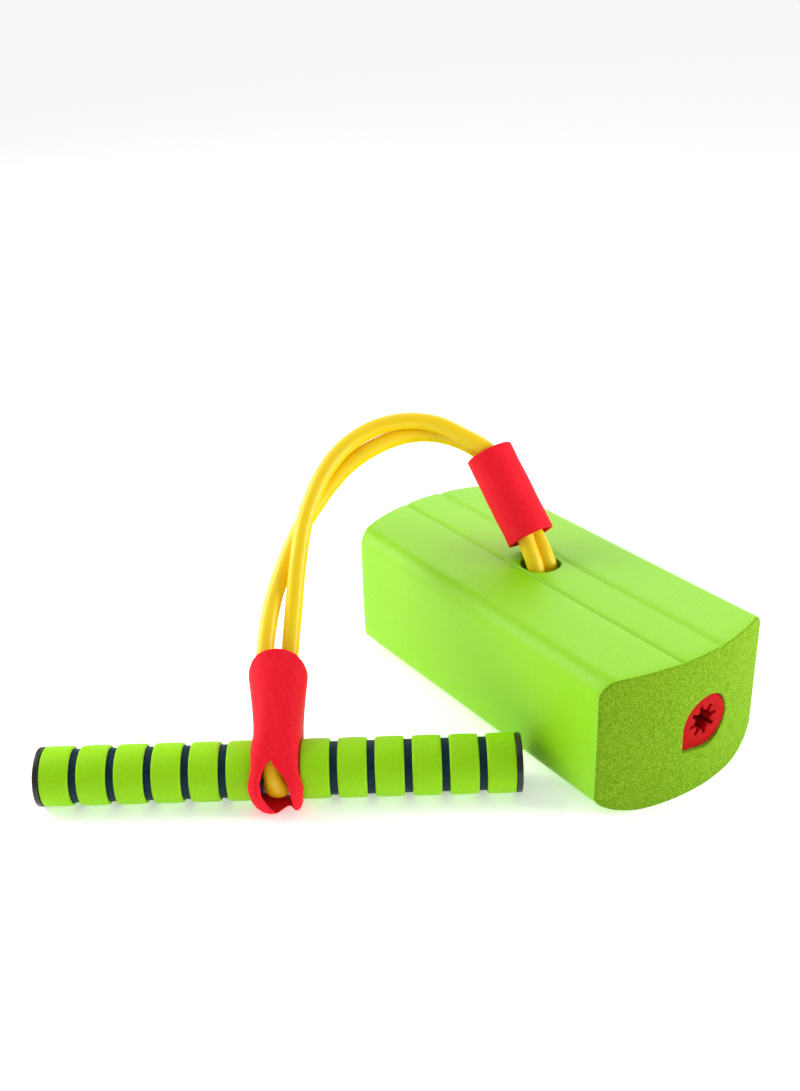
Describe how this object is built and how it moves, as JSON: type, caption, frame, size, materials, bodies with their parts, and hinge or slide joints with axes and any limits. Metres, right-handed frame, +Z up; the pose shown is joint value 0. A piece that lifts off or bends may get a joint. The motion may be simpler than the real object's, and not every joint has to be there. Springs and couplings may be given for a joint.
{
  "type": "pogo stick",
  "caption": "Foam pogo jumper: grooved foam block to stand on, doubled stretch cord with two foam sleeves, and a ringed foam cross handle laid on the floor.",
  "frame": {"origin": "centre of the foam block's underside, on the floor", "axes": "+Z up; +X along the block towards the end seen in the picture; the handle lies on the -Y side"},
  "size_m": [0.25, 0.3617, 0.1687],
  "materials": {
    "green_foam": "matt closed-cell foam with a smooth skin, lime green",
    "dark_foam": "matt dark blue-grey foam",
    "red_foam": "matt red foam tube",
    "red_rubber": "satin red",
    "yellow_rubber": "smooth satin yellow rubber",
    "black_plastic": "satin black",
    "tube_plastic": "satin off-white"
  },
  "bodies": {
    "base": {"foam_base": "green_foam", "core_plug_near": "red_rubber", "core_plug_far": "red_rubber", "anchor_rod": "tube_plastic"},
    "cord_root": {"anchor_loop": "yellow_rubber"},
    "cord_link_1": {"cord_front_1": "yellow_rubber", "cord_back_1": "yellow_rubber"},
    "cord_link_2": {"cord_front_2": "yellow_rubber", "cord_back_2": "yellow_rubber"},
    "cord_link_3": {"cord_front_3": "yellow_rubber", "cord_back_3": "yellow_rubber"},
    "cord_link_4": {"cord_front_4": "yellow_rubber", "cord_back_4": "yellow_rubber"},
    "cord_link_5": {"cord_front_5": "yellow_rubber", "cord_back_5": "yellow_rubber", "upper_sleeve": "red_foam", "handle_loop": "yellow_rubber"},
    "lower_sleeve_body": {"lower_sleeve": "red_foam"},
    "handle": {"end_cap_left": "black_plastic", "end_cap_right": "black_plastic", "grip_foam_left": "dark_foam", "grip_foam_right": "dark_foam", "grip_ring_left_1": "green_foam", "grip_ring_left_2": "green_foam", "grip_ring_left_3": "green_foam", "grip_ring_left_4": "green_foam", "grip_ring_left_5": "green_foam", "grip_ring_left_6": "green_foam", "grip_ring_right_1": "green_foam", "grip_ring_right_2": "green_foam", "grip_ring_right_3": "green_foam", "grip_ring_right_4": "green_foam", "grip_ring_right_5": "green_foam", "grip_ring_right_6": "green_foam", "handle_tube": "tube_plastic"}
  },
  "joints": [
    {"name": "cord_stretch", "type": "slide", "parent": "base", "child": "cord_root", "axis": [0, 0, 1], "range_m": [0, 0.1], "stiffness_N_per_m": 450, "deforming": ["anchor_loop"]},
    {"name": "cord_tilt", "type": "hinge", "parent": "cord_root", "child": "cord_link_1", "pos_m": [-0.006, 0, 0.087], "axis": [-0.022, 0.9998, 0], "range_deg": [0, 42.6], "deforming": ["cord_front_1", "cord_back_1"]},
    {"name": "cord_bend_1", "type": "hinge", "parent": "cord_link_1", "child": "cord_link_2", "pos_m": [-0.05793, -0.00262, 0.14333], "axis": [-0.7139, 0.268, -0.6469], "range_deg": [0, 42.2], "deforming": ["cord_front_2", "cord_back_2"]},
    {"name": "cord_bend_2", "type": "hinge", "parent": "cord_link_2", "child": "cord_link_3", "pos_m": [-0.08941, -0.05218, 0.15752], "axis": [-0.7139, 0.268, -0.6469], "range_deg": [0, 62.5], "deforming": ["cord_front_3", "cord_back_3"]},
    {"name": "cord_bend_3", "type": "hinge", "parent": "cord_link_3", "child": "cord_link_4", "pos_m": [-0.08502, -0.10706, 0.12994], "axis": [-0.7139, 0.268, -0.6469], "range_deg": [0, 51.6], "deforming": ["cord_front_4", "cord_back_4"]},
    {"name": "cord_twist", "type": "hinge", "parent": "cord_link_4", "child": "cord_link_5", "pos_m": [-0.0605, -0.14551, 0.08685], "axis": [0.4569, -0.5132, -0.7265], "range_deg": [-90, 90], "stiffness_Nm_per_rad": 0.03, "deforming": ["cord_front_5", "cord_back_5"]},
    {"name": "handle_spin", "type": "hinge", "parent": "cord_link_5", "child": "handle", "pos_m": [-0.01015, -0.18305, 0.0166], "axis": [0.5672, 0.8236, 0], "continuous": true},
    {"name": "lower_sleeve_slide", "type": "slide", "parent": "cord_link_1", "child": "lower_sleeve_body", "axis": [-0.6805, -0.0139, 0.7327], "range_m": [-0.003, 0.006]}
  ],
  "couplings": [
    {"joint": "cord_tilt", "follows": "cord_bend_2", "ratio": 0.6815},
    {"joint": "cord_bend_1", "follows": "cord_bend_2", "ratio": 0.6752},
    {"joint": "cord_bend_3", "follows": "cord_bend_2", "ratio": 0.8256}
  ]
}
